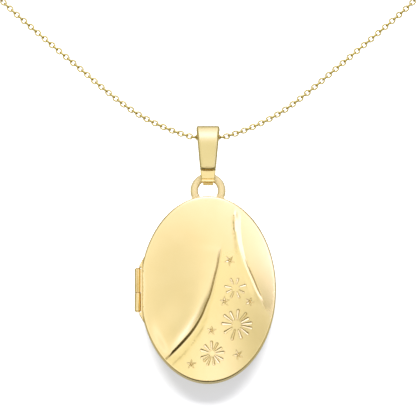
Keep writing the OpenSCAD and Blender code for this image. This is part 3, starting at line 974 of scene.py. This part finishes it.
def make_knuckle(name, node, body, up):
    """A rolled knuckle with rounded ends and an open bore for the pin."""
    low, high = node_box(node)
    rings = []
    for share in (0.0, 0.3, 0.65, 1.0):
        inset = END_ROUND * (1 - math.sqrt(1 - (1 - share) ** 2))
        rings.append((low[1] + END_ROUND * share, inset))
    rings += [(high[1] + low[1] - y, inset) for y, inset in reversed(rings)]
    points = []
    for y, inset in rings:
        outline = knuckle_profile(inset)
        points.append(np.column_stack([outline[:, 0], np.full(len(outline), y), outline[:, 1]]))
    n = len(points[0])
    turn = np.arctan2(points[0][:, 2], points[0][:, 0])
    for y, inset in (rings[-1], rings[0]):
        points.append(np.column_stack([BORE_R * np.cos(turn), np.full(n, y), BORE_R * np.sin(turn)]))
    points = np.vstack(points)
    faces = grid_faces(len(rings) + 2, n, wrap_rows=True)
    if not up:
        points[:, 2] *= -1
    points += np.array([HINGE_X, 0, PART_Z])
    piece = new_piece(name, points, faces, body, sharp_deg=45)
    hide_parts(node)
    paint(piece, HINGE)


make_knuckle("front_rolled_knuckle", "front_hinge_knuckle", "front", True)
make_knuckle("back_rolled_knuckle", "back_hinge_knuckle", "back", False)


# ---------------- carried-over CAD nodes
def soften(name, width_mm):
    """Joins a CAD node's split vertices and rounds its edges."""
    weld = nodes[name].modifiers.new("weld", "WELD")
    weld.merge_threshold = 0.001 * MM
    bevel = nodes[name].modifiers.new("bevel", "BEVEL")
    bevel.width = width_mm * MM
    bevel.segments = 2
    bevel.limit_method = "ANGLE"
    bevel.angle_limit = math.radians(40)


# Width of the rounded edges, mm
SOFT_EDGES = {"loop_feet": 0.07, "front_hinge_plate": 0.06, "back_hinge_plate": 0.06, "hinge_pin": 0.04,
              "front_rim_band": 0.04, "back_rim_band": 0.04, "front_photo_frame": 0.06,
              "back_photo_frame": 0.06, "clasp_ring": 0.04, "clasp_bolt": 0.05, "clasp_trigger": 0.05}
for name, width in SOFT_EDGES.items():
    soften(name, width)
PAINTS = [(LOOP, ["loop_feet"]),
          (HINGE, ["front_hinge_plate", "back_hinge_plate", "hinge_pin"]),
          (INNER, ["front_rim_band", "back_rim_band", "front_photo_frame", "back_photo_frame"]),
          (WINDOW, ["front_window", "back_window"]),
          (CARD, ["front_photo_card", "back_photo_card"]),
          (CLASP, ["clasp_ring", "clasp_bolt", "clasp_trigger", "clasp_eye", "clasp_jump_ring",
                   "end_ring"]),
          (STEEL, ["clasp_spring"])]
for material, names in PAINTS:
    for name in names:
        paint(nodes[name], material)
paint(chain_left, CHAIN)
paint(chain_right, CHAIN)


# ---------------- floor and light
FLOOR_HALF = 3.0              # metres
FLOOR_GREY = 0.2
FLOOR_GLOW = 0.55             # the floor is a softly lit table
KEY_PLACE = (0.0, 0.62, 0.66)           # metres
KEY_SIZE = (0.8, 0.4)
KEY_WATTS = 60.0


def make_floor():
    mesh = bpy.data.meshes.new("floor")
    corners = [(x * FLOOR_HALF, y * FLOOR_HALF, 0) for x, y in ((-1, -1), (1, -1), (1, 1), (-1, 1))]
    mesh.from_pydata(corners, [], [(0, 1, 2, 3)])
    floor = bpy.data.objects.new("floor", mesh)
    bpy.context.scene.collection.objects.link(floor)
    material, tree, shader = node_material("floor_white")
    shader.inputs["Base Color"].default_value = (FLOOR_GREY, FLOOR_GREY, FLOOR_GREY, 1)
    shader.inputs["Roughness"].default_value = 0.9
    shader.inputs["Specular IOR Level"].default_value = 0.0
    shader.inputs["Emission Color"].default_value = (1, 1, 1, 1)
    shader.inputs["Emission Strength"].default_value = FLOOR_GLOW
    mesh.materials.append(material)
    floor.visible_glossy = False
    return floor


def make_key(floor):
    """One soft lamp that lights the floor only, shaded only by the locket's body."""
    data = bpy.data.lights.new("key", "AREA")
    data.shape = "RECTANGLE"
    data.size, data.size_y = KEY_SIZE
    data.energy = KEY_WATTS
    key = bpy.data.objects.new("key", data)
    key.location = KEY_PLACE
    key.rotation_euler = (-Vector(KEY_PLACE)).to_track_quat("-Z", "Y").to_euler()
    key.visible_glossy = False
    bpy.context.scene.collection.objects.link(key)
    lit = bpy.data.collections.new("lit_by_key")
    lit.objects.link(floor)
    key.light_linking.receiver_collection = lit
    casts = bpy.data.collections.new("shades_key")
    for name in ("front_cover_shell", "back_cover_shell", "front_rim_band", "back_rim_band"):
        casts.objects.link(bpy.data.objects[name])
    key.light_linking.blocker_collection = casts


def toward(right_deg, up_deg):
    """Direction leaning from straight up, to the right (+X) and towards the locket's top (+Y)."""
    return heading(math.tan(math.radians(right_deg)), math.tan(math.radians(up_deg)), 1.0)


def heading(x, y, z):
    return Vector((x, y, z)).normalized()


# Brightness by the cosine of the angle from overhead: dim at the horizon, then a bright ring
OVERHEAD = [(0.0, 0.32), (0.35, 0.34), (0.55, 0.48), (0.66, 1.05), (0.76, 1.25), (0.86, 1.08),
            (0.95, 0.93), (1.0, 0.93)]
# Soft boxes and grey cards: direction, half width in degrees and change of brightness
CARDS = [(toward(0, 38), 14, 0.1), (heading(0, 1, 0.2), 24, 0.95), (toward(0, 52), 10, 0.3),
         (toward(28, 24), 12, 0.14), (toward(41, 24), 9, 0.32), (toward(47, 10), 9, 0.3),
         (heading(1, 0, 0.1), 26, 0.2), (heading(-1, 0, 0.1), 26, 0.2), (heading(0, 0, -1), 40, 0.2),
         (toward(24, -7), 10, -0.68), (toward(3, 7), 8, 0.15), (toward(-19, 9), 11, -0.1),
         (toward(8, -14), 9, 0.5), (heading(0, -1, 0.1), 26, -0.4), (toward(62, -55), 16, -0.2)]
STUDIO_TOP = 1.5              # the brightness that the two ramps' ends stand for
STUDIO_FLOOR = 0.05           # the darkest that the studio gets
# The light's tint by its brightness: warmer where it is dim, cooler in the soft boxes
LIGHT_TINTS = [(0.4, (1, 0.97, 0.7)), (0.9, (1, 1, 0.96)), (1.05, (1, 1.01, 1)),
               (1.25, (1, 1.03, 1.3)), (1.45, (1, 1.03, 1.7))]


def light_ramp(tree, value, stops, smoothing):
    """Colour ramp through (position, colour) stops."""
    ramp = tree.nodes.new("ShaderNodeValToRGB")
    tree.links.new(value, ramp.inputs["Fac"])
    ramp.color_ramp.interpolation = smoothing
    elements = ramp.color_ramp.elements
    elements[0].position, elements[1].position = stops[0][0], stops[-1][0]
    for at, colour in stops[1:-1]:
        elements.new(at)
    for element, (at, colour) in zip(elements, stops):
        element.color = (*colour, 1)
    return ramp.outputs["Color"]


def make_world():
    """Studio dome seen only by reflection and lighting; the camera itself sees plain white."""
    world = bpy.data.worlds.new("studio")
    bpy.context.scene.world = world
    world.use_nodes = True
    tree = world.node_tree
    tree.nodes.clear()
    coords = tree.nodes.new("ShaderNodeTexCoord")
    direction = tree.nodes.new("ShaderNodeVectorMath")
    direction.operation = "NORMALIZE"
    tree.links.new(coords.outputs["Generated"], direction.inputs[0])
    split = tree.nodes.new("ShaderNodeSeparateXYZ")
    tree.links.new(direction.outputs["Vector"], split.inputs["Vector"])
    rings = [(at, [value / STUDIO_TOP] * 3) for at, value in OVERHEAD]
    total = math_node(tree, "MULTIPLY", light_ramp(tree, split.outputs["Z"], rings, "B_SPLINE"),
                      STUDIO_TOP)
    for centre, half_deg, amount in CARDS:
        dot = tree.nodes.new("ShaderNodeVectorMath")
        dot.operation = "DOT_PRODUCT"
        tree.links.new(direction.outputs["Vector"], dot.inputs[0])
        dot.inputs[1].default_value = centre
        edge = math.cos(math.radians(2 * half_deg))
        lobe = remap(tree, dot.outputs["Value"], edge, 1.0, 0.0, amount, "SMOOTHERSTEP")
        total = math_node(tree, "ADD", total, lobe)
    total = math_node(tree, "MAXIMUM", total, STUDIO_FLOOR)
    studio = tree.nodes.new("ShaderNodeBackground")
    tree.links.new(total, studio.inputs["Strength"])
    tint = light_ramp(tree, math_node(tree, "DIVIDE", total, STUDIO_TOP),
                      [(at / STUDIO_TOP, colour) for at, colour in LIGHT_TINTS], "LINEAR")
    tree.links.new(tint, studio.inputs["Color"])
    white = tree.nodes.new("ShaderNodeBackground")
    white.inputs["Color"].default_value = (1, 1, 1, 1)
    path = tree.nodes.new("ShaderNodeLightPath")
    mix = tree.nodes.new("ShaderNodeMixShader")
    tree.links.new(path.outputs["Is Camera Ray"], mix.inputs[0])
    tree.links.new(studio.outputs[0], mix.inputs[1])
    tree.links.new(white.outputs[0], mix.inputs[2])
    output = tree.nodes.new("ShaderNodeOutputWorld")
    tree.links.new(mix.outputs[0], output.inputs["Surface"])


make_key(make_floor())
make_world()
bpy.context.scene.view_settings.view_transform = "Standard"
